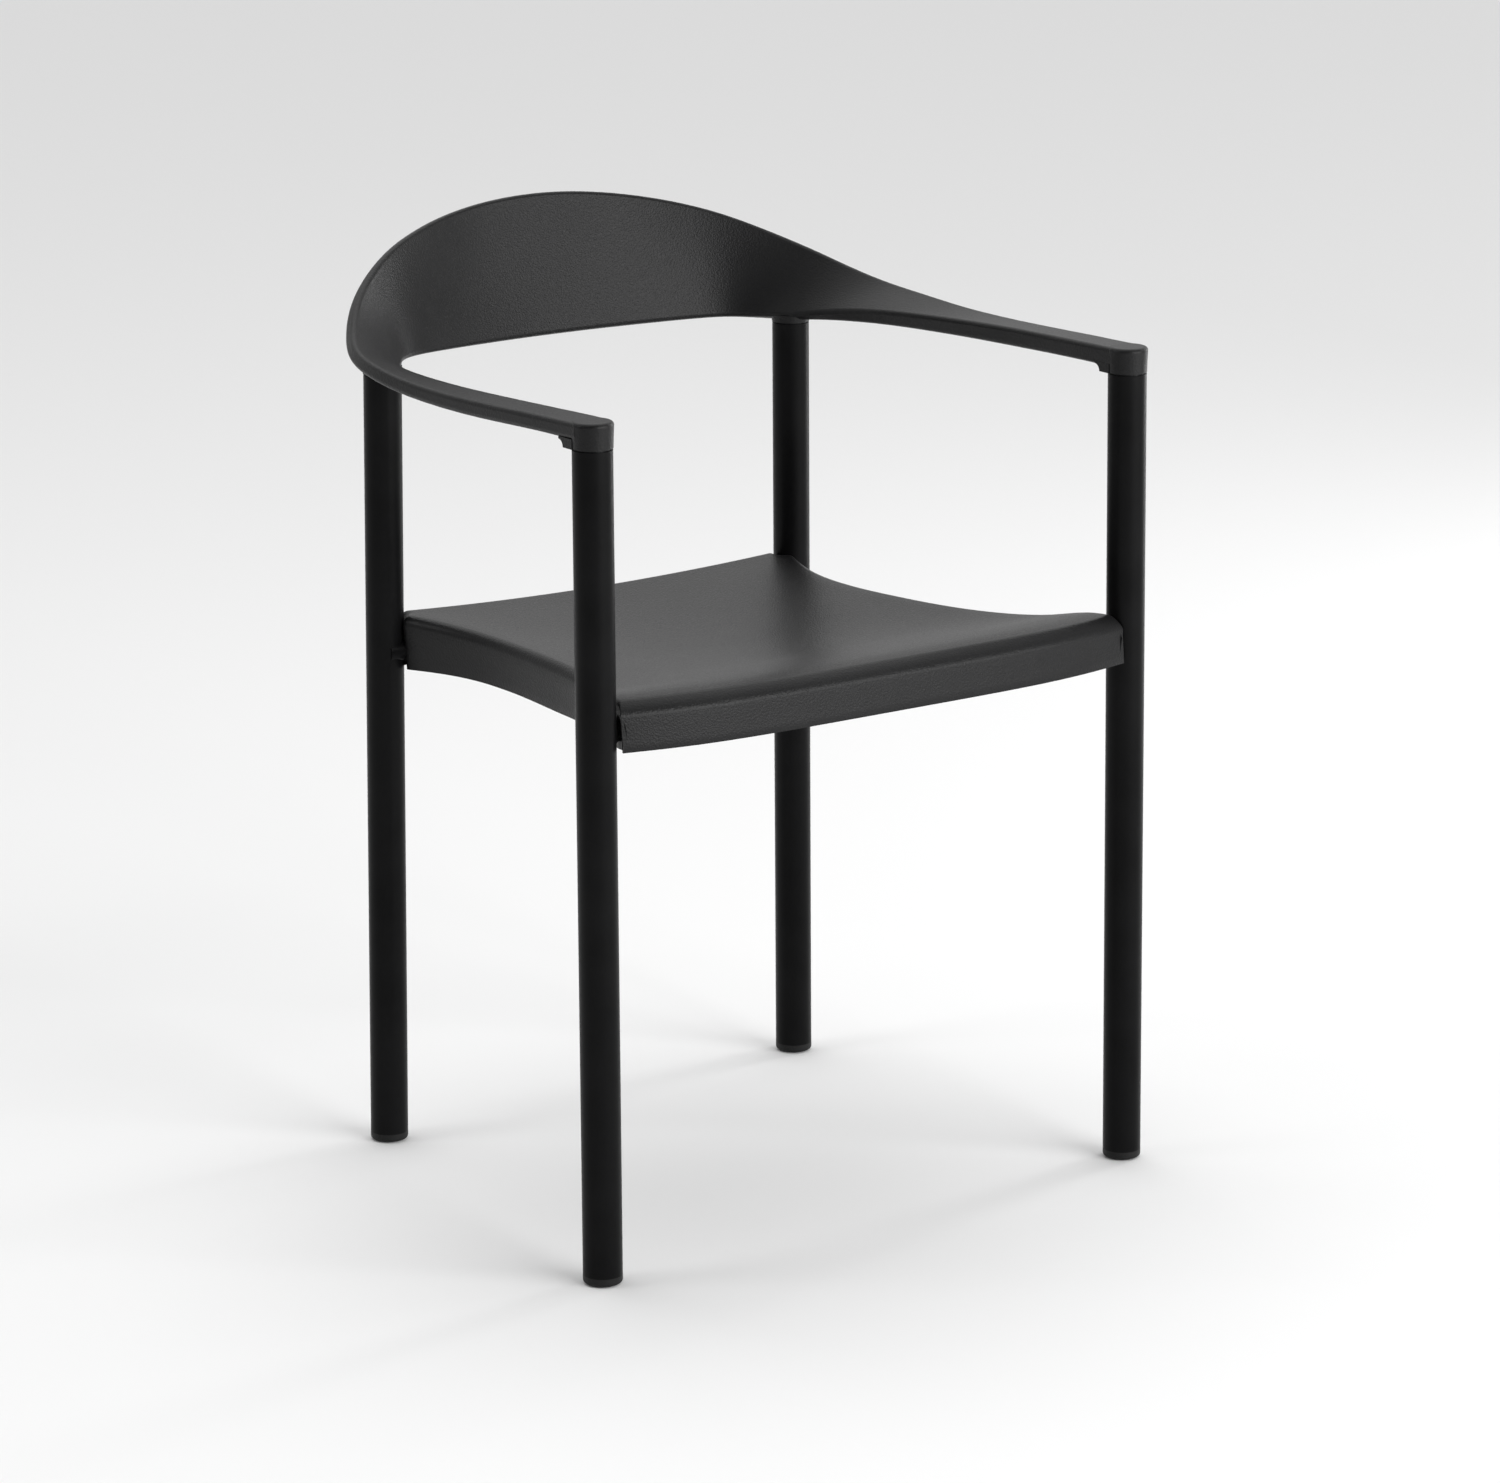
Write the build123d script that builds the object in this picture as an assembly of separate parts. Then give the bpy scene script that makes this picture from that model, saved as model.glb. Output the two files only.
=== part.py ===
from build123d import *
import os

# Stacking armchair: four steel tube legs, a moulded seat shell on a welded rail frame,
# and one moulded hoop that is both the arms and the back.
# Millimetres. +Z is up, the chair faces -Y, and the origin is on the floor below the middle.
# Left and right are the sitter's: the sitter's left is +X.

# ---- driving dimensions -------------------------------------------------------------
TUBE_R = 16.0
TUBE_WALL = 1.5
BORE_R = TUBE_R - TUBE_WALL
PLUG_R = BORE_R - 0.2

# Leg axis ends, floor and top, for the legs on the +X side
FRONT_LEG = [(265.6, -233.0, 0), (264.0, -227.4, 674.4)]
REAR_LEG = [(214.2, 171.4, 0), (208.6, 167.6, 665.5)]

GLIDE_HEIGHT = 7.0
GLIDE_PLUG_LENGTH = 22.0
GLIDE_EDGE = 3.0

RAIL_R = 9.5
RAIL_WALL = 1.5
FRONT_RAIL_Y, FRONT_RAIL_Z = -226.0, 449.0
REAR_RAIL_Y, REAR_RAIL_Z = 161.0, 431.0
SIDE_RAIL_X = 150.0
BEAD_SIZE = 2.5

# Seat shell
SEAT_SKIN = 3.2
SEAT_FRONT_Y = -260.0
SEAT_FRONT_BOW = 15.5
SEAT_REAR_Y = 174.5
LEG_CLEARANCE = 1.5

# Half width of the seat against Y, waisted between the legs
SEAT_SIDE = [(178, 204), (154, 203), (131, 195), (101, 187), (66, 182.5), (21, 182.5),
             (-29, 187), (-84, 195), (-134, 208), (-179, 224), (-214, 241), (-262, 251)]
# Height of the seat's edge and of its middle against Y
SEAT_RIM_Z = [(178, 463), (136, 461.5), (86, 460), (36, 460), (-14, 461), (-74, 462.5),
              (-134, 464.5), (-179, 468), (-214, 474), (-262, 475.5)]
SEAT_MID_Z = [(178, 457), (116, 453), (46, 450.5), (-14, 450.5), (-74, 452.5), (-134, 458),
              (-184, 467), (-226, 473), (-262, 474)]
# Lower edge of the skirt against Y
SKIRT_Z = [(190, 414), (154, 415.5), (86, 418), (21, 419), (-26, 419.5), (-71, 420.5),
           (-134, 425), (-194, 431), (-245, 435), (-270, 432)]

# Hoop: lower or inner edge and upper or outer edge of its top face, from the arm's
# front end round to the middle of the back, on the +X side, with the thickness there
HOOP_STATIONS = [
    ((247.4, -228, 696.6), (281.0, -228, 696.4), 16),
    ((248.6, -184, 695.6), (281.8, -184, 695.2), 16),
    ((250.4, -134, 694.2), (283.2, -134, 693.8), 16),
    ((251.4, -84, 692.6), (284.4, -84, 692.4), 16),
    ((250.0, -34, 690.6), (284.6, -34, 692.0), 15.5),
    ((245.6, 16, 688.4), (283.4, 18, 693.4), 15),
    ((238.0, 64, 685.8), (279.4, 68, 697.6), 14.5),
    ((227.4, 100, 682.8), (269.0, 112, 704.4), 14),
    ((213.0, 129, 678.6), (252.0, 141, 715.0), 13.5),
    ((198.0, 152, 674.5), (233.0, 165, 727.0), 12.5),
    ((181.0, 178, 671.5), (205.0, 191, 742.0), 11),
    ((160.5, 196, 671.0), (172.0, 213, 757.0), 10),
    ((127.0, 206, 671.0), (134.0, 231, 769.5), 10),
    ((80.0, 213, 671.0), (84.0, 247, 780.0), 10),
    ((0.0, 217, 671.0), (0.0, 254, 787.0), 10),
]
HOOP_EDGE_R = 3.6
HOOP_TOP_EDGE_THIN = 0.8
CAP_TOP_Z = 696.7
CAP_R_LOW, CAP_R_HIGH = 16.3, 17.0
CAP_EDGE = 3.2
ARM_LOWER_Z = 681.2
WEB_R = 6.0
WEB_WIDTH = 33.0
WEB_START = 4.0
SEAM = 1.2
COLLAR_TOP_Z = 673.0
SPIGOT_LENGTH = 38.0
SPIGOT_ROOT = 3.0
SOCKET_TOP_Z = 740.0
SOCKET_COVER = 5.0

SCREW_R = 2.4
SCREW_HEAD_R = 4.6
SCREW_HEAD_H = 2.4
HOOP_SCREW_DROP = 20.0
SEAT_SCREW_YS = (-165.0, 105.0)
BOSS_R = 6.5
RIB_T = 2.5
RIB_Z = 441.0


def mirrored(point, side):
    """A point of the +X side, or its twin on the other side."""
    return (point[0] * side, point[1], point[2])


def at(profile, y):
    """Value of a smooth profile of (y, value) points at y."""
    points = sorted(profile)
    ys = [p[0] for p in points]
    vs = [p[1] for p in points]
    y = min(max(y, ys[0]), ys[-1])
    slopes = []
    for i in range(len(ys)):
        a = max(i - 1, 0)
        b = min(i + 1, len(ys) - 1)
        slopes.append((vs[b] - vs[a]) / (ys[b] - ys[a]))
    k = max(i for i in range(len(ys) - 1) if ys[i] <= y)
    h = ys[k + 1] - ys[k]
    t = (y - ys[k]) / h
    start = (1 + 2 * t) * (1 - t) ** 2 * vs[k] + t * (1 - t) ** 2 * h * slopes[k]
    end = t * t * (3 - 2 * t) * vs[k + 1] + t * t * (t - 1) * h * slopes[k + 1]
    return start + end


def cylinder_between(start, end, radius):
    """A round bar from one point to another."""
    start, end = Vector(*start), Vector(*end)
    axis = end - start
    plane = Plane(origin=start, z_dir=axis.normalized())
    return extrude(plane * Circle(radius), amount=axis.length)


def cone_between(start, end, radius_start, radius_end):
    """A tapered round bar from one point to another."""
    start, end = Vector(*start), Vector(*end)
    axis = end - start
    plane = Plane(origin=start, z_dir=axis.normalized())
    middle = Location(Vector(0, 0, axis.length / 2))
    return plane * middle * Cone(radius_start, radius_end, axis.length)


def leg_bar(points, side, radius, low=0.0, high=None):
    """The round bar that a leg follows, cut level at two heights."""
    floor, top = (Vector(*mirrored(p, side)) for p in points)
    way = (top - floor).normalized()
    bar = cylinder_between(floor - way * 30, top + way * 30, radius)
    high = top.Z if high is None else high
    slab = Pos(floor.X, floor.Y, (low + high) / 2) * Box(120, 120, high - low)
    return bar & slab


def leg(points, side):
    """One leg tube, from the glide to the moulded cap."""
    tube = leg_bar(points, side, TUBE_R, GLIDE_HEIGHT)
    return tube - leg_bar(points, side, BORE_R, GLIDE_HEIGHT - 1, points[1][2] + 1)


def glide(points, side):
    """Foot glide: a cap as wide as the tube, and a hollow plug inside it."""
    cap = leg_bar(points, side, TUBE_R, 0, GLIDE_HEIGHT)
    cap = fillet(cap.edges().sort_by(Axis.Z)[0], GLIDE_EDGE)
    top = GLIDE_HEIGHT + GLIDE_PLUG_LENGTH
    plug = leg_bar(points, side, PLUG_R, GLIDE_HEIGHT, top)
    plug -= leg_bar(points, side, PLUG_R - 3, GLIDE_HEIGHT + 4, top + 1)
    return cap + plug


def rail(start, end, members):
    """A seat rail tube, coped to fit the round members at its ends."""
    bar = cylinder_between(start, end, RAIL_R) - cylinder_between(start, end, RAIL_R - RAIL_WALL)
    for member in members:
        bar -= member
    return bar.solids().sort_by(SortBy.VOLUME)[-1]


def bead(start, end, member_radius, member, bar):
    """Weld bead round a rail at its start, where it meets a round member."""
    start, end = Vector(*start), Vector(*end)
    way = (end - start).normalized()
    low = start + way * (member_radius - 4)
    high = start + way * (member_radius + BEAD_SIZE + 1)
    ring = cone_between(low, high, RAIL_R + BEAD_SIZE + 1.4, RAIL_R + 0.3)
    ring = ring - member - bar
    return ring.solids().sort_by(SortBy.VOLUME)[-1]


# ---- seat shell ----------------------------------------------------------------------
def seat_outline(inset):
    """Plan outline of the seat: waisted sides, a bowed front, set in by a distance."""
    right = [(x - inset, min(max(y, SEAT_FRONT_Y + SEAT_FRONT_BOW + inset), SEAT_REAR_Y - inset))
             for y, x in SEAT_SIDE]
    side = Spline(*right)
    rear, front = side @ 0, side @ 1
    twin = mirror(side, about=Plane.YZ)
    nose = SEAT_FRONT_Y + inset
    bow = Spline((front.X, front.Y), (0.68 * front.X, nose + 2.5), (0, nose),
                 (-0.68 * front.X, nose + 2.5), (-front.X, front.Y))
    back = Line((rear.X, rear.Y), (-rear.X, rear.Y))
    return make_face(Wire([*side.edges(), *twin.edges(), *bow.edges(), *back.edges()]))


def under_seat_top(drop):
    """Everything under the dished top of the seat, lowered by a distance."""
    sections = []
    wide = 262.0
    for y, rim in SEAT_RIM_Z:
        mid = at(SEAT_MID_Z, y)
        rise = (rim - mid) * (wide / at(SEAT_SIDE, y)) ** 2
        ends = mid + rise - drop
        arc = ThreePointArc((-wide, ends), (0, mid - drop), (wide, ends))
        frame = Polyline((wide, ends), (wide, 380), (-wide, 380), (-wide, ends))
        sections.append(Plane.XZ.offset(-y) * make_face(arc + frame))
    return loft(sections)


def seat_block(inset):
    """Solid block under the seat's top, set in by a distance."""
    prism = extrude(Pos(0, 0, 385) * seat_outline(inset), amount=110)
    return prism & under_seat_top(inset)


def skirt_cutter():
    """Everything below the skirt's lower edge, which is a smooth line in side view."""
    edge = Spline(*[(y, z) for y, z in SKIRT_Z])
    first, last = edge @ 0, edge @ 1
    low = 340
    box = Polyline((last.X, last.Y), (last.X, low), (first.X, low), (first.X, first.Y))
    return extrude(Plane.YZ * make_face(edge + box), amount=300, both=True)


def seat_screw(x, y, rail_z):
    """Pan head screw, up through a side rail into the seat."""
    shank = Pos(x, y, rail_z + 4) * Cylinder(SCREW_R, 2 * RAIL_R + 8)
    head = Pos(x, y, rail_z - RAIL_R - SCREW_HEAD_H / 2 + 0.6) * Cylinder(SCREW_HEAD_R, SCREW_HEAD_H)
    head = fillet(head.edges().sort_by(Axis.Z)[0], 1.4)
    slot = Pos(x, y, rail_z - RAIL_R - SCREW_HEAD_H + 1.0) * (Box(1.2, 5, 1.6) + Box(5, 1.2, 1.6))
    return shank + head - slot


def side_rail_z(y):
    """Axis height of the side rails at y."""
    t = (y - FRONT_RAIL_Y) / (REAR_RAIL_Y - FRONT_RAIL_Y)
    return FRONT_RAIL_Z + t * (REAR_RAIL_Z - FRONT_RAIL_Z)


def seat_shell(cutters):
    """Moulded seat with a skirt all round, ribs below, and bosses on the side rails."""
    outer = seat_block(0)
    shell = outer - seat_block(SEAT_SKIN)
    for x in (-75, 0, 75):
        shell += Pos(x, -40, RIB_Z + 20) * Box(RIB_T, 350, 40) & outer
    for y in (-150, -40, 70):
        shell += Pos(0, y, RIB_Z + 20) * Box(2 * (SIDE_RAIL_X - RAIL_R) - 8, RIB_T, 40) & outer
    for side in (-1, 1):
        for y in SEAT_SCREW_YS:
            boss = Pos(SIDE_RAIL_X * side, y, side_rail_z(y) + 25) * Cylinder(BOSS_R, 50)
            shell += boss & outer
    shell -= skirt_cutter()
    for points in (FRONT_LEG, REAR_LEG):
        for side in (-1, 1):
            shell -= leg_bar(points, side, TUBE_R + LEG_CLEARANCE, 380, 520)
    for cutter in cutters:
        shell -= cutter
    return shell.solids().sort_by(SortBy.VOLUME)[-1]


# ---- hoop ----------------------------------------------------------------------------
def hoop_stations():
    """All stations from the +X arm round the back to the -X arm."""
    right = [(Vector(*a), Vector(*b), t) for a, b, t in HOOP_STATIONS]
    left = [(Vector(-a.X, a.Y, a.Z), Vector(-b.X, b.Y, b.Z), t) for a, b, t in right[:-1]]
    return right + left[::-1]


def hoop_strip():
    """The twisting strip of the hoop, lofted through its stations."""
    stations = hoop_stations()
    middles = [(a + b) * 0.5 for a, b, _ in stations]
    sections = []
    for i, (low, high, thick) in enumerate(stations):
        ahead = middles[min(i + 1, len(middles) - 1)]
        behind = middles[max(i - 1, 0)]
        across = (high - low).normalized()
        back = across.cross(ahead - behind).normalized()
        plane = Plane(origin=low, x_dir=across, z_dir=across.cross(back * -1))
        width = (high - low).length
        thin = thick * HOOP_TOP_EDGE_THIN
        outline = make_face(Polyline((0, 0), (width, 0), (width, thin), (0, thick), close=True))
        sections.append(plane * fillet(outline.vertices(), HOOP_EDGE_R * min(1, thin / 9)))
    return loft(sections)


def front_cap(side):
    """Round cap of the hoop on a front leg, with a soft top edge and a web under the arm."""
    x, y, z = mirrored(FRONT_LEG[1], side)
    foot = z + SEAM
    cap = Pos(x, y, (foot + CAP_TOP_Z) / 2) * Cone(CAP_R_LOW, CAP_R_HIGH, CAP_TOP_Z - foot)
    cap = fillet(cap.edges().sort_by(Axis.Z)[-1], CAP_EDGE)
    back = y + CAP_R_LOW + WEB_R
    deep = CAP_R_LOW + WEB_R - WEB_START
    web = Pos(x, back - deep / 2, ARM_LOWER_Z - WEB_R / 2 + 1) * Box(WEB_WIDTH, deep, WEB_R + 2)
    hollow = Pos(x, back, ARM_LOWER_Z - WEB_R) * Rot(0, 90, 0) * Cylinder(WEB_R, WEB_WIDTH + 2)
    return cap + (web - hollow)


def rear_socket(side):
    """Round socket under the hoop on a rear leg, its top cut to stay inside the strip."""
    low = REAR_LEG[1][2] + SEAM
    bar = leg_bar(REAR_LEG, side, CAP_R_LOW, low, SOCKET_TOP_Z)
    (before, _, _), (here, rim, _), (after, _, _) = HOOP_STATIONS[8:11]
    along = Vector(*mirrored(after, side)) - Vector(*mirrored(before, side))
    across = Vector(*mirrored(rim, side)) - Vector(*mirrored(here, side))
    face = across.cross(along).normalized() * side
    cut = Plane(origin=Vector(*mirrored(here, side)) - face * SOCKET_COVER, z_dir=face)
    upper = split(bar, bisect_by=cut, keep=Keep.BOTTOM)
    collar = leg_bar(REAR_LEG, side, CAP_R_LOW, low, COLLAR_TOP_Z)
    return upper + collar


def spigot(points, side):
    """Plug of the hoop inside a leg tube."""
    top = points[1][2]
    return leg_bar(points, side, PLUG_R, top - SPIGOT_LENGTH, top + SPIGOT_ROOT)


def hoop_screw(points, side):
    """Screw from behind, through a leg tube into the hoop's spigot."""
    x, y, top = mirrored(points[1], side)
    z = top - HOOP_SCREW_DROP
    shank = Pos(x, y + TUBE_R - 5, z) * Rot(90, 0, 0) * Cylinder(SCREW_R, 12)
    head = Pos(x, y + TUBE_R + 0.4, z) * Rot(90, 0, 0) * Cylinder(SCREW_HEAD_R, SCREW_HEAD_H)
    return shank + (head - leg_bar(points, side, TUBE_R, z - 20, z + 20))


def back_arm_hoop(screws):
    """The one moulding that is both arms and the back, with its caps, sockets and spigots."""
    hoop = hoop_strip()
    for side in (-1, 1):
        hoop += front_cap(side)
        hoop += rear_socket(side)
        hoop += spigot(FRONT_LEG, side)
        hoop += spigot(REAR_LEG, side)
    for screw in screws:
        hoop -= screw
    return hoop.solids().sort_by(SortBy.VOLUME)[-1]


# ---- assembly ------------------------------------------------------------------------
def build_parts():
    """Every node by name."""
    parts = {}
    sides = {"left": 1, "right": -1}
    ends = {"front": FRONT_LEG, "rear": REAR_LEG}
    cross = {"front": (FRONT_RAIL_Y, FRONT_RAIL_Z), "rear": (REAR_RAIL_Y, REAR_RAIL_Z)}
    hoop_screws, seat_cutters = [], []
    cross_bars = {}

    for end, points in ends.items():
        for name, side in sides.items():
            screw = hoop_screw(points, side)
            hoop_screws.append(screw)
            parts[f"{end}_{name}_hoop_screw"] = screw
            parts[f"{end}_{name}_leg"] = leg(points, side) - screw
            parts[f"{end}_{name}_glide"] = glide(points, side)

    for end, points in ends.items():
        y, z = cross[end]
        start, stop = (-points[0][0], y, z), (points[0][0], y, z)
        members = [leg_bar(points, side, TUBE_R, z - 40, z + 40) for side in (-1, 1)]
        bar = cylinder_between(start, stop, RAIL_R)
        cross_bars[end] = bar
        parts[f"{end}_seat_rail"] = rail(start, stop, members)
        seat_cutters.append(cylinder_between(start, stop, RAIL_R + 0.6))
        t = z / points[1][2]
        leg_x = points[0][0] + t * (points[1][0] - points[0][0])
        for name, side in sides.items():
            member = members[0] if side < 0 else members[1]
            weld = bead((leg_x * side, y, z), (0, y, z), TUBE_R, member, bar)
            parts[f"{end}_rail_{name}_weld"] = weld
            seat_cutters.append(weld)

    for name, side in sides.items():
        x = SIDE_RAIL_X * side
        start, stop = (x, FRONT_RAIL_Y, FRONT_RAIL_Z), (x, REAR_RAIL_Y, REAR_RAIL_Z)
        bar = cylinder_between(start, stop, RAIL_R)
        tube = rail(start, stop, cross_bars.values())
        for place, y in zip(("front", "rear"), SEAT_SCREW_YS):
            screw = seat_screw(x, y, side_rail_z(y))
            parts[f"{place}_{name}_seat_screw"] = screw
            tube -= screw
            seat_cutters.append(screw)
        parts[f"{name}_side_rail"] = tube
        seat_cutters.append(bar)
        for place, near, far in (("front", start, stop), ("rear", stop, start)):
            parts[f"{name}_side_{place}_weld"] = bead(near, far, RAIL_R, cross_bars[place], bar)

    parts["seat_shell"] = seat_shell(seat_cutters)
    parts["back_arm_hoop"] = back_arm_hoop(hoop_screws)
    return parts


os.makedirs("parts", exist_ok=True)
for node, shape in build_parts().items():
    export_step(shape, f"parts/{node}.step")
    box = shape.bounding_box()
    print(f"{node:26s} solids {len(shape.solids())} volume {shape.volume:10.0f}"
          f"  y {box.min.Y:7.1f} {box.max.Y:7.1f}  z {box.min.Z:6.1f} {box.max.Z:6.1f}")
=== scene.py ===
import math
import bmesh
import bpy
from mathutils import Matrix, Vector


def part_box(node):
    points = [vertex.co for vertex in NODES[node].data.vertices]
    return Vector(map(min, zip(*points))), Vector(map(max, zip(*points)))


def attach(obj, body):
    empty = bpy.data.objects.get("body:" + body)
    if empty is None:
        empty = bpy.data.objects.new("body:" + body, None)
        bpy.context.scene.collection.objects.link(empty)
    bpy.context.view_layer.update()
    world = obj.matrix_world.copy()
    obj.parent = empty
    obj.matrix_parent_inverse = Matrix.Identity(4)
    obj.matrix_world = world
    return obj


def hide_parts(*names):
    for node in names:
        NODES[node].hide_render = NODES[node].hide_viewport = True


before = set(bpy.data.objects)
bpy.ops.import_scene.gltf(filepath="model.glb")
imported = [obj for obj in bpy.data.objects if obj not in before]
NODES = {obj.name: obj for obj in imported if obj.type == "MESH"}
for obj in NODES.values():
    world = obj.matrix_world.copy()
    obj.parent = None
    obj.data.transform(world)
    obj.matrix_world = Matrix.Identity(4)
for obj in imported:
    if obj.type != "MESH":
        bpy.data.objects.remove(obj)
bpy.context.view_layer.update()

# Stacking armchair: black powder coated tube, a grained black seat shell and a grained
# black hoop that is both arms and the back. Metres; the chair faces -Y.

MM = 0.001


# ---- materials -----------------------------------------------------------------------
# The part of a noise's range that its values mostly fill
NOISE_RANGE = (0.3, 0.7)


class Finish:
    """A material under way: its node tree, with a short way to add and join nodes."""

    def __init__(self, name):
        self.material = bpy.data.materials.new(name)
        self.material.use_nodes = True
        self.tree = self.material.node_tree
        self.shader = self.tree.nodes["Principled BSDF"]
        self.place = self.tree.nodes.new("ShaderNodeTexCoord").outputs["Object"]

    def node(self, kind, **inputs):
        made = self.tree.nodes.new("ShaderNode" + kind)
        for key, value in inputs.items():
            socket = made.inputs[key.replace("_", " ")]
            if hasattr(value, "is_linked"):
                self.tree.links.new(value, socket)
            else:
                socket.default_value = value
        return made

    def noise(self, scale, detail=3.0, roughness=0.5):
        made = self.node("TexNoise", Scale=scale, Detail=detail, Roughness=roughness)
        self.tree.links.new(self.place, made.inputs["Vector"])
        return made.outputs["Fac"]

    def grain(self, scale, smooth=0.6):
        made = self.node("TexVoronoi", Scale=scale)
        made.feature = "SMOOTH_F1"
        made.inputs["Smoothness"].default_value = smooth
        self.tree.links.new(self.place, made.inputs["Vector"])
        return made.outputs["Distance"]

    def spread(self, value, low, high):
        made = self.node("MapRange", Value=value)
        made.inputs["From Min"].default_value = NOISE_RANGE[0]
        made.inputs["From Max"].default_value = NOISE_RANGE[1]
        made.inputs["To Min"].default_value = low
        made.inputs["To Max"].default_value = high
        return made.outputs["Result"]

    def tone(self, value, dark, light):
        made = self.node("ValToRGB", Fac=value)
        low, high = made.color_ramp.elements
        low.position, high.position = NOISE_RANGE
        low.color = (*dark, 1)
        high.color = (*light, 1)
        return made.outputs["Color"]

    def bump(self, height, strength, distance, under=None):
        made = self.node("Bump", Height=height, Strength=strength, Distance=distance)
        if under is not None:
            self.tree.links.new(under, made.inputs["Normal"])
        return made.outputs["Normal"]

    def join(self, output, name):
        self.tree.links.new(output, self.shader.inputs[name])

    def gloss(self, ior, level):
        self.shader.inputs["IOR"].default_value = ior
        self.shader.inputs["Specular IOR Level"].default_value = level


def moulded_plastic(name, tones, roughness, grain_size, grain_depth):
    """Moulded plastic with a fine spark-eroded grain and a low, slightly uneven sheen."""
    finish = Finish(name)
    cloud = finish.noise(scale=9.0, detail=4.0)
    speck = finish.noise(scale=900.0, detail=2.0)
    finish.join(finish.tone(cloud, *tones), "Base Color")
    finish.join(finish.spread(speck, low=roughness - 0.05, high=roughness + 0.07), "Roughness")
    pebble = finish.bump(finish.grain(1.0 / grain_size), strength=0.8, distance=grain_depth)
    rough = finish.bump(speck, strength=0.5, distance=grain_depth, under=pebble)
    sink = finish.noise(scale=14.0, detail=1.0)
    finish.join(finish.bump(sink, strength=0.06, distance=0.002, under=rough), "Normal")
    finish.gloss(ior=1.5, level=0.22)
    return finish.material


def powder_coat(name, tones):
    """Satin black powder coat on steel, with its faint orange peel."""
    finish = Finish(name)
    cloud = finish.noise(scale=22.0, detail=3.0)
    finish.join(finish.tone(cloud, *tones), "Base Color")
    sheen = finish.noise(scale=260.0, detail=2.0)
    finish.join(finish.spread(sheen, low=0.30, high=0.40), "Roughness")
    peel = finish.noise(scale=420.0, detail=2.0)
    finish.join(finish.bump(peel, strength=0.10, distance=0.0004), "Normal")
    finish.gloss(ior=1.45, level=0.09)
    return finish.material


def weld_coat(name, tones):
    """The same coat over a rippled weld bead."""
    finish = Finish(name)
    finish.join(finish.tone(finish.noise(scale=60.0), *tones), "Base Color")
    finish.join(finish.spread(finish.noise(scale=500.0), low=0.38, high=0.5), "Roughness")
    ripple = finish.noise(scale=380.0, detail=3.0)
    finish.join(finish.bump(ripple, strength=0.5, distance=0.0012), "Normal")
    return finish.material


def black_oxide(name, tones):
    """Blackened screw steel with a slightly uneven tone."""
    finish = Finish(name)
    finish.join(finish.tone(finish.noise(scale=350.0), *tones), "Base Color")
    finish.join(finish.spread(finish.noise(scale=700.0), low=0.28, high=0.45), "Roughness")
    finish.join(finish.bump(finish.noise(scale=900.0), strength=0.15, distance=0.0003), "Normal")
    finish.shader.inputs["Metallic"].default_value = 0.8
    return finish.material


# Darkest and lightest colour of each finish
COAT_TONES = (0.0030, 0.0030, 0.0032), (0.0055, 0.0055, 0.0058)
WELD_TONES = (0.004, 0.004, 0.004), (0.009, 0.009, 0.009)
PLASTIC_TONES = (0.006, 0.006, 0.0063), (0.010, 0.010, 0.0104)
GLIDE_TONES = (0.008, 0.008, 0.008), (0.012, 0.012, 0.012)
STEEL_TONES = (0.012, 0.012, 0.013), (0.03, 0.03, 0.032)

FRAME_COAT = powder_coat("frame powder coat", COAT_TONES)
WELD_COAT = weld_coat("coated weld", WELD_TONES)
SEAT_PLASTIC = moulded_plastic("seat plastic", PLASTIC_TONES, roughness=0.38,
                               grain_size=0.0016, grain_depth=0.00022)
HOOP_PLASTIC = moulded_plastic("hoop plastic", PLASTIC_TONES, roughness=0.40,
                               grain_size=0.0015, grain_depth=0.00022)
GLIDE_PLASTIC = moulded_plastic("glide plastic", GLIDE_TONES, roughness=0.5,
                                grain_size=0.0016, grain_depth=0.0001)
SCREW_STEEL = black_oxide("black oxide screw", STEEL_TONES)


def finish_node(node):
    """Material of a node of the frame, by what it is."""
    if node == "seat_shell":
        return SEAT_PLASTIC
    if node == "back_arm_hoop":
        return HOOP_PLASTIC
    if node.endswith("glide"):
        return GLIDE_PLASTIC
    if node.endswith("screw"):
        return SCREW_STEEL
    if node.endswith("weld"):
        return WELD_COAT
    return FRAME_COAT


for name, obj in NODES.items():
    obj.data.materials.clear()
    obj.data.materials.append(finish_node(name))


# ---- seat ----------------------------------------------------------------------------
# Half width of the seat against Y, waisted between the legs, in millimetres
SEAT_SIDE = [(178, 204), (154, 203), (131, 195), (101, 187), (66, 182.5), (21, 182.5),
             (-29, 187), (-84, 195), (-134, 208), (-179, 224), (-214, 241), (-243, 251)]
# Height of the seat's rim and of its middle against Y
SEAT_RIM_Z = [(178, 463), (136, 461.5), (86, 460), (36, 460), (-14, 461), (-74, 462.5),
              (-134, 464.5), (-179, 468), (-214, 474), (-262, 475.5)]
SEAT_MID_Z = [(178, 457), (116, 453), (46, 450.5), (-14, 450.5), (-74, 452.5), (-134, 458),
              (-184, 467), (-226, 473), (-262, 474)]
# Lower edge of the skirt against Y
SKIRT_Z = [(190, 414), (154, 415.5), (86, 418), (21, 419), (-26, 419.5), (-71, 420.5),
           (-134, 425), (-194, 431), (-245, 435), (-270, 432)]
# Width of the roll along the side rims against Y, tighter beside the front legs
SIDE_ROLL = [(178, 6), (140, 9), (-150, 9), (-205, 5), (-262, 2.5)]
FRONT_FACE_Y = -257.8
FRONT_BOW, BOW_POWER = 15.0, 4.5
REAR_FACE_Y = 174.3
REAR_CORNER_Y = 148.0
# The top's long slow fall to the front, then the roll, which a faint crease starts
FRONT_FALL_LONG, FRONT_FALL_DEEP = 33.0, 1.8
FRONT_ROLL, FRONT_ROLL_CREASE = 11.0, 0.45
REAR_ROLL = 7.0
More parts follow.
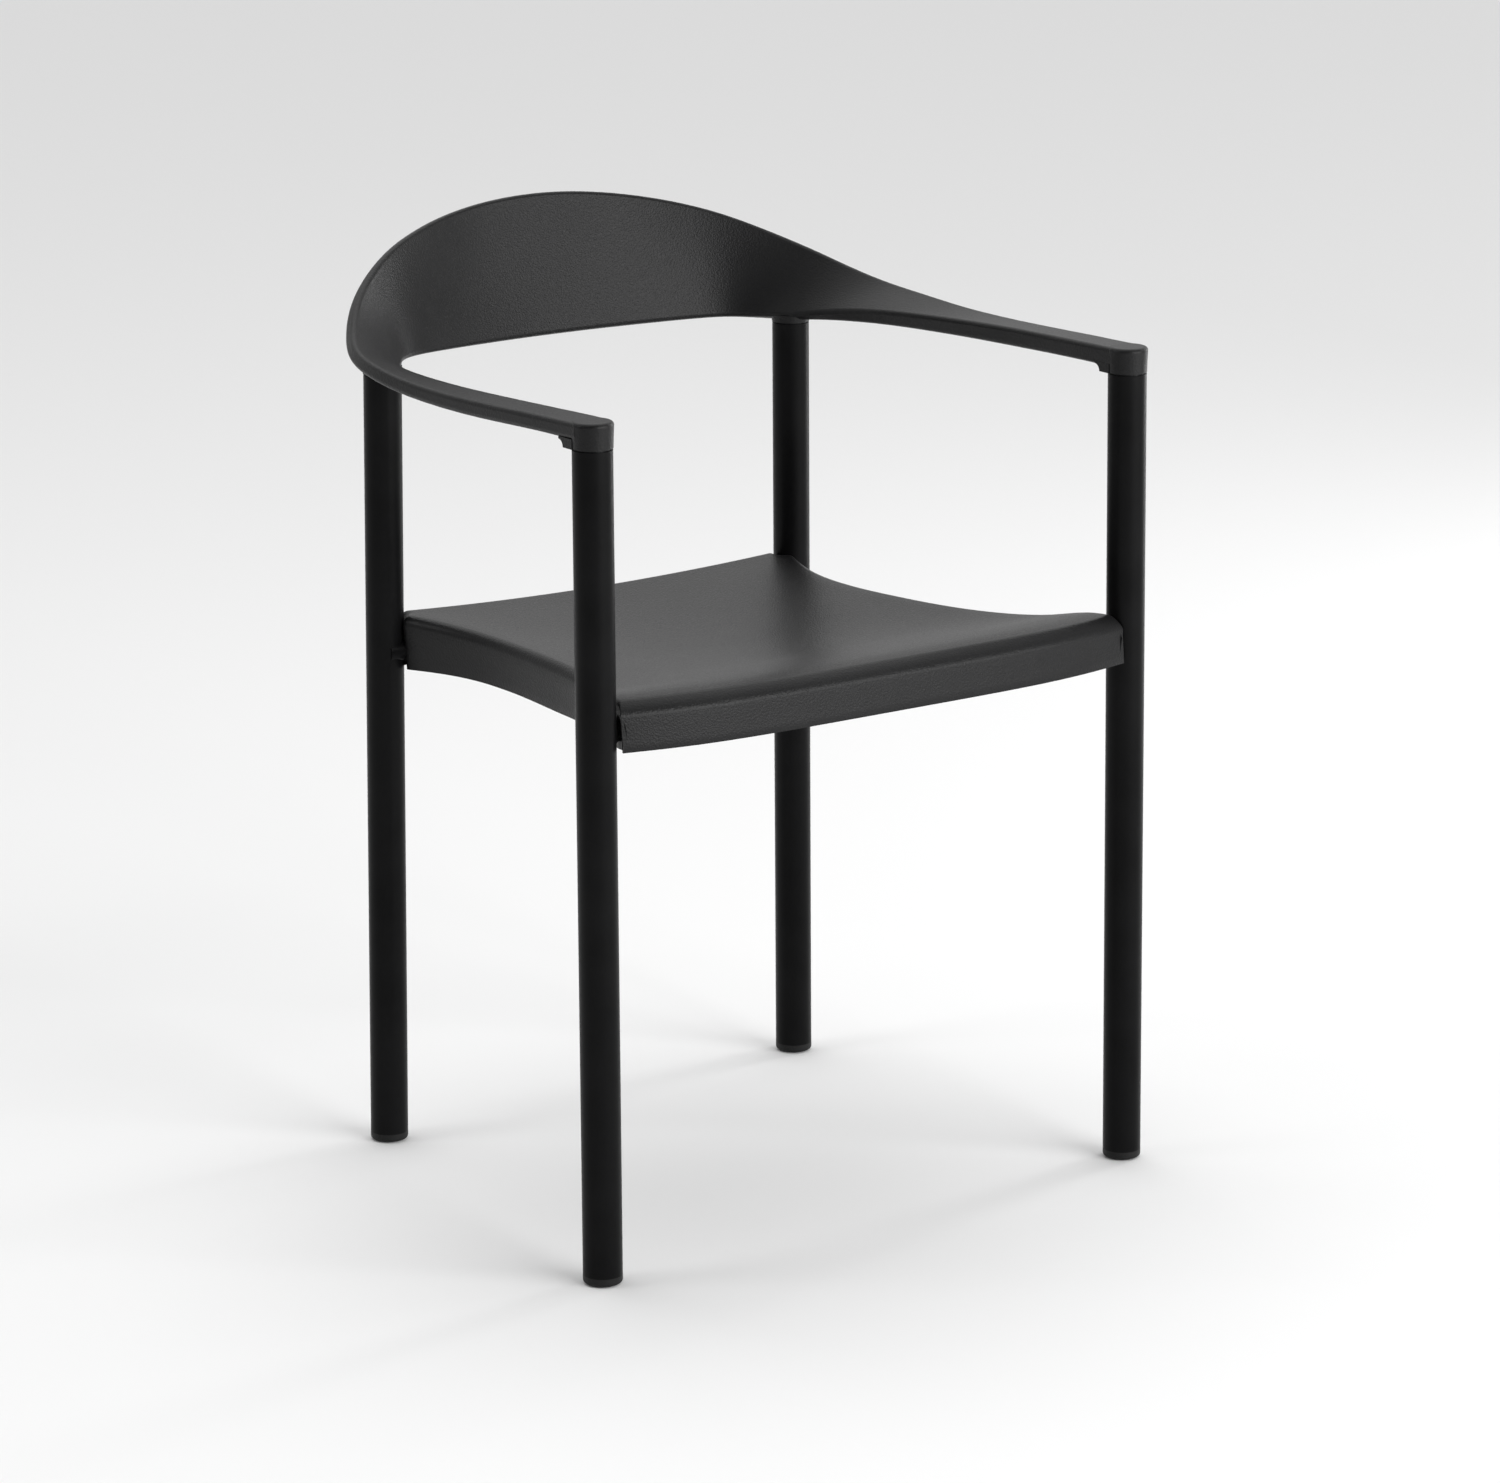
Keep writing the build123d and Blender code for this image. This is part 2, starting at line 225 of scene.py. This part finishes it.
# How far the skirt's foot stands inside its rim at the sides, and ahead of it in front
SKIRT_DRAFT = 3.0
FRONT_LEAN = 2.6
SKIRT_FOOT_ROUND = 0.8
SEAT_SKIN = 3.2
# Leg centres at seat height, and the radius kept clear round them
LEG_PLACES = [(209.9, 169.3), (264.6, -231.3)]
LEG_GAP = 17.5
# Ribs and screw bosses below the seat, and the side rails that the bosses stand on
RIB_XS = (-75, 0, 75)
RIB_YS = (-150, -40, 70)
RIB_END = 60
RIB_REACH = 137
RIB_THICK = 2.5
RIB_FOOT_Z = 441
BOSS_R, BOSS_DRAFT = 6.0, 0.6
SCREW_PLACES = [(150, -165), (150, 105)]
RAIL_FRONT_Y = -226
RAIL_SLOPE = 18 / 387
# How finely each stretch is divided
ROLL_STEPS = 7
FRONT_STEPS = 10
FALL_STEPS = 8
MIDDLE_STEPS = 36
CORNER_STEPS = 10
HALF_STEPS = 16
SKIRT_CUTS = 3
RIB_CUTS = 14
BOSS_SIDES = 28
SETTLE_ROUNDS = 3
RIM_TOUCH = 0.5
SHARP_ANGLE = math.radians(40)


def piece(name, bm, material):
    """Make a finished mesh, drawn in millimetres, an object of the chair."""
    bmesh.ops.scale(bm, verts=bm.verts, vec=(MM, MM, MM))
    mesh = bpy.data.meshes.new(name)
    bm.to_mesh(mesh)
    bm.free()
    mesh.shade_smooth()
    mesh.materials.append(material)
    made = bpy.data.objects.new(name, mesh)
    bpy.context.scene.collection.objects.link(made)
    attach(made, "root")
    return made


def at(profile, y):
    """Value of a smooth profile of (y, value) points at y."""
    points = sorted(profile)
    y = min(max(y, points[0][0]), points[-1][0])
    slopes = []
    for i in range(len(points)):
        a, b = points[max(i - 1, 0)], points[min(i + 1, len(points) - 1)]
        slopes.append((b[1] - a[1]) / (b[0] - a[0]))
    k = max(i for i in range(len(points) - 1) if points[i][0] <= y)
    step = points[k + 1][0] - points[k][0]
    t = (y - points[k][0]) / step
    start = (1 + 2 * t) * (1 - t) ** 2 * points[k][1] + t * (1 - t) ** 2 * step * slopes[k]
    end = t * t * (3 - 2 * t) * points[k + 1][1] + t * t * (t - 1) * step * slopes[k + 1]
    return start + end


def seat_half_width(y):
    """Half width of the seat, which steps in round the legs."""
    wide = at(SEAT_SIDE, y)
    for x, centre in LEG_PLACES:
        reach = LEG_GAP ** 2 - (y - centre) ** 2
        if reach > 0:
            wide = min(wide, x - math.sqrt(reach))
    return wide


def seat_front(x):
    """Y of the bowed front face at x."""
    return FRONT_FACE_Y + FRONT_BOW * (abs(x) / SEAT_SIDE[-1][1]) ** BOW_POWER


def roll_places(width, steps):
    """Distances from an edge, close together where a roll of this width turns down."""
    return [width * (1 - math.cos(math.radians(90 * k / steps))) for k in range(steps + 1)]


def roll_drop(distance, width, deep, crease=0.0):
    """How far a roll has dropped at a distance from its edge; a crease starts it at a slope."""
    t = max(0.0, min(1.0, (width - distance) / width))
    return deep * (crease * t + (1 - crease) * (1 - math.sqrt(1 - t * t)))


def seat_height(x, y):
    """Height of the dished top, rolled off at its front, sides and rear."""
    wide = seat_half_width(y)
    mid = at(SEAT_MID_Z, y)
    top = mid + (at(SEAT_RIM_Z, y) - mid) * (x / at(SEAT_SIDE, y)) ** 2
    side = at(SIDE_ROLL, y)
    ahead = y - seat_front(x)
    fall = max(0.0, 1 - ahead / FRONT_FALL_LONG) ** 2 * FRONT_FALL_DEEP
    drops = [roll_drop(ahead, FRONT_ROLL, FRONT_ROLL, FRONT_ROLL_CREASE),
             roll_drop(wide - abs(x), side, side),
             roll_drop(REAR_FACE_Y - y, REAR_ROLL, REAR_ROLL)]
    return top - fall - math.sqrt(sum(d * d for d in drops))


def seat_rows(x):
    """Y of each row of the seat's skin at x, front to rear."""
    front = seat_front(x)
    rows = [front + d for d in roll_places(FRONT_ROLL, FRONT_STEPS)]
    fall = FRONT_FALL_LONG - FRONT_ROLL
    rows += [front + FRONT_ROLL + fall * k / FALL_STEPS for k in range(1, FALL_STEPS + 1)]
    middle = REAR_CORNER_Y - rows[-1]
    rows += [rows[-1] + middle * k / MIDDLE_STEPS for k in range(1, MIDDLE_STEPS + 1)]
    corner = REAR_FACE_Y - REAR_ROLL - REAR_CORNER_Y
    rows += [REAR_CORNER_Y + corner * k / CORNER_STEPS for k in range(1, CORNER_STEPS + 1)]
    rows += [REAR_FACE_Y - d for d in roll_places(REAR_ROLL, ROLL_STEPS)[-2::-1]]
    return rows


def seat_columns(y):
    """X of each column of the seat's skin at y, right to left."""
    wide = seat_half_width(y)
    roll = at(SIDE_ROLL, y)
    edge = [wide - d for d in roll_places(roll, ROLL_STEPS)]
    inner = [edge[-1] * (1 - k / HALF_STEPS) for k in range(1, HALF_STEPS)]
    half = edge + inner
    return [-x for x in half] + [0.0] + half[::-1]


def skirt_foot(x, y):
    """Where a point of the rim comes down to on the skirt's lower edge, with the draft."""
    foot = Vector((x, y, at(SKIRT_Z, y)))
    if abs(x) > seat_half_width(y) - RIM_TOUCH:
        foot.x -= math.copysign(SKIRT_DRAFT, x)
    if y < seat_front(x) + RIM_TOUCH:
        foot.y -= FRONT_LEAN
    return foot


def seat_skin(bm):
    """The outer skin: a grid shaped to the dished, rolled top, its rim pulled down to a skirt."""
    across, along = len(seat_columns(0)), len(seat_rows(0))
    grid = bmesh.ops.create_grid(bm, x_segments=across - 1, y_segments=along - 1, size=1)["verts"]
    for vert in grid:
        i = round((vert.co.x + 1) / 2 * (across - 1))
        j = round((vert.co.y + 1) / 2 * (along - 1))
        y = seat_rows(0)[j]
        for _ in range(SETTLE_ROUNDS):
            x = seat_columns(y)[i]
            y = seat_rows(x)[j]
        vert.co = (x, y, seat_height(x, y))
    rim = [e for e in bm.edges if e.is_boundary]
    out = bmesh.ops.extrude_edge_only(bm, edges=rim)["geom"]
    low = {g for g in out if isinstance(g, bmesh.types.BMVert)}
    for vert in low:
        vert.co = skirt_foot(vert.co.x, vert.co.y)
    walls = [e for e in bm.edges if len(low.intersection(e.verts)) == 1]
    bmesh.ops.subdivide_edges(bm, edges=walls, cuts=SKIRT_CUTS, use_grid_fill=True)


def rib(bm, start, end):
    """A thin rib under the seat from one plan point to another, its top inside the skin."""
    others = len(bm.verts)
    bar = bmesh.ops.create_cube(bm, size=1)["verts"]
    edges = {e for v in bar for e in v.link_edges}
    lengthwise = [e for e in edges if e.verts[0].co.x != e.verts[1].co.x]
    bmesh.ops.subdivide_edges(bm, edges=lengthwise, cuts=RIB_CUTS)
    run = Vector(end) - Vector(start)
    aside = Vector((-run.y, run.x)).normalized() * RIB_THICK
    bm.verts.ensure_lookup_table()
    for vert in bm.verts[others:]:
        place = Vector(start) + run * (vert.co.x + 0.5) + aside * vert.co.y
        top = seat_height(*place) - SEAT_SKIN / 2
        vert.co = (place.x, place.y, top if vert.co.z > 0 else RIB_FOOT_Z)


def boss(bm, x, y):
    """A round boss that stands on the side rail, a little wider at the seat."""
    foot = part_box("left_side_rail")[1][2] / MM - (y - RAIL_FRONT_Y) * RAIL_SLOPE
    top = seat_height(x, y) - SEAT_SKIN / 2
    made = bmesh.ops.create_cone(bm, cap_ends=True, segments=BOSS_SIDES, radius1=BOSS_R - BOSS_DRAFT,
                                 radius2=BOSS_R + BOSS_DRAFT, depth=top - foot)["verts"]
    bmesh.ops.translate(bm, verts=made, vec=(x, y, (top + foot) / 2))


def seat():
    """Moulded seat: the rolled skin given its wall, with a small round on the skirt's foot."""
    bm = bmesh.new()
    seat_skin(bm)
    bmesh.ops.recalc_face_normals(bm, faces=bm.faces)
    middle = min(bm.faces, key=lambda f: f.calc_center_median().to_2d().length)
    if middle.normal.z < 0:
        bmesh.ops.reverse_faces(bm, faces=bm.faces)
    made = piece("seat", bm, SEAT_PLASTIC)
    wall = made.modifiers.new("wall", "SOLIDIFY")
    wall.thickness = SEAT_SKIN * MM
    wall.offset = -1
    edge = made.modifiers.new("edge", "BEVEL")
    edge.width = SKIRT_FOOT_ROUND * MM
    edge.segments = 2
    edge.limit_method = "ANGLE"
    edge.angle_limit = SHARP_ANGLE
    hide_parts("seat_shell")


def seat_ribs():
    """The stiffening ribs and the screw bosses below the seat."""
    bm = bmesh.new()
    for x in RIB_XS:
        rib(bm, (x, RIB_YS[0] - RIB_END), (x, RIB_YS[-1] + RIB_END))
    for y in RIB_YS:
        rib(bm, (-RIB_REACH, y), (RIB_REACH, y))
    for x, y in SCREW_PLACES:
        boss(bm, x, y)
        boss(bm, -x, y)
    made = piece("seat_ribs", bm, SEAT_PLASTIC)
    made.data.set_sharp_from_angle(angle=SHARP_ANGLE)


seat()
seat_ribs()


# ---- studio --------------------------------------------------------------------------
FLOOR_REACH = 70
FLOOR_DROP = 0.0005
FLOOR_GREY = (0.86, 0.86, 0.86, 1)
FLOOR_ROUGHNESS = 0.9
# Name, place, what it aims at, width, height and watts of each softbox
SOFTBOXES = [
    ("wide front", (2.0, -5.6, 2.3), (0, 0, 0.6), 5.0, 4.0, 335),
    ("tall side", (3.0, 0.2, 1.0), (0, 0, 0.5), 0.6, 2.0, 24),
    ("high right", (-3.1, 1.1, 2.5), (0, 0.1, 0.7), 1.3, 1.3, 20),
]
CEILING_LIGHT = 1.3
CEILING_SPREAD = 75
CEILING_TILT = (-12, 8, 0)
# The room's light grows from dim to bright towards this direction
BRIGHT_WALL = (0.57, 0.80, 0.20)
ROOM_TURN = (-0.2, 1.0)
ROOM_DIM, ROOM_BRIGHT = 0.14, 0.85


def floor():
    """Plain pale flat floor, wide enough to run out of sight."""
    mesh = bpy.data.meshes.new("floor")
    bm = bmesh.new()
    bmesh.ops.create_grid(bm, x_segments=1, y_segments=1, size=FLOOR_REACH)
    bmesh.ops.translate(bm, verts=bm.verts, vec=(0, 0, -FLOOR_DROP))
    bm.to_mesh(mesh)
    bm.free()
    made = bpy.data.objects.new("floor", mesh)
    bpy.context.scene.collection.objects.link(made)
    material = bpy.data.materials.new("pale floor")
    material.use_nodes = True
    shader = material.node_tree.nodes["Principled BSDF"]
    shader.inputs["Base Color"].default_value = FLOOR_GREY
    shader.inputs["Roughness"].default_value = FLOOR_ROUGHNESS
    shader.inputs["Specular IOR Level"].default_value = 0.0
    mesh.materials.append(material)


def softbox(name, place, aim, width, height, power):
    """A rectangular soft light."""
    light = bpy.data.lights.new(name, "AREA")
    light.shape = "RECTANGLE"
    light.size = width
    light.size_y = height
    light.energy = power
    lamp = bpy.data.objects.new(name, light)
    way = Vector(aim) - Vector(place)
    lamp.location = place
    lamp.rotation_euler = way.to_track_quat("-Z", "Y").to_euler()
    bpy.context.scene.collection.objects.link(lamp)


def pale_room():
    """Soft room light, brighter behind the chair than in front of it."""
    world = bpy.data.worlds.new("pale room")
    world.use_nodes = True
    tree = world.node_tree
    back = tree.nodes["Background"]
    back.inputs["Color"].default_value = (1, 1, 1, 1)
    facing = tree.nodes.new("ShaderNodeVectorMath")
    facing.operation = "DOT_PRODUCT"
    facing.inputs[1].default_value = BRIGHT_WALL
    tree.links.new(tree.nodes.new("ShaderNodeTexCoord").outputs["Generated"], facing.inputs[0])
    spread = tree.nodes.new("ShaderNodeMapRange")
    spread.interpolation_type = "SMOOTHSTEP"
    spread.inputs["From Min"].default_value = ROOM_TURN[0]
    spread.inputs["From Max"].default_value = ROOM_TURN[1]
    spread.inputs["To Min"].default_value = ROOM_DIM
    spread.inputs["To Max"].default_value = ROOM_BRIGHT
    tree.links.new(facing.outputs["Value"], spread.inputs["Value"])
    tree.links.new(spread.outputs["Result"], back.inputs["Strength"])
    bpy.context.scene.world = world


def ceiling():
    """Even, very soft light straight down, for the floor and the shadow below the chair."""
    light = bpy.data.lights.new("ceiling", "SUN")
    light.energy = CEILING_LIGHT
    light.angle = math.radians(CEILING_SPREAD)
    lamp = bpy.data.objects.new("ceiling", light)
    lamp.rotation_euler = [math.radians(a) for a in CEILING_TILT]
    bpy.context.scene.collection.objects.link(lamp)


def studio():
    """Soft room light, an even ceiling, and softboxes in front, beside and high behind."""
    pale_room()
    ceiling()
    for row in SOFTBOXES:
        softbox(*row)
    bpy.context.scene.view_settings.view_transform = "Standard"


# ---- camera --------------------------------------------------------------------------
CAMERA_PLACE = Vector((-2.5742, -3.6868, 1.5252))
CAMERA_YAW, CAMERA_PITCH, CAMERA_ROLL = -35.391, 14.594, -0.157
CAMERA_LENS, CAMERA_SENSOR = 132.7, 36
CAMERA_REACH = 60


def camera():
    """Long lens camera in front, to the sitter's right, looking a little down."""
    yaw, pitch, roll = (math.radians(a) for a in (CAMERA_YAW, CAMERA_PITCH, CAMERA_ROLL))
    ahead = Vector((-math.sin(yaw) * math.cos(pitch), math.cos(yaw) * math.cos(pitch), -math.sin(pitch)))
    right = Vector((math.cos(yaw), math.sin(yaw), 0))
    up = right.cross(ahead)
    right, up = (right * math.cos(roll) + up * math.sin(roll),
                 up * math.cos(roll) - right * math.sin(roll))
    data = bpy.data.cameras.new("camera")
    data.sensor_width = CAMERA_SENSOR
    data.lens = CAMERA_LENS
    data.clip_end = CAMERA_REACH
    made = bpy.data.objects.new("camera", data)
    turn = Matrix((right, up, -ahead)).transposed().to_4x4()
    made.matrix_world = Matrix.Translation(CAMERA_PLACE) @ turn
    bpy.context.scene.collection.objects.link(made)
    bpy.context.scene.camera = made


floor()
studio()
camera()
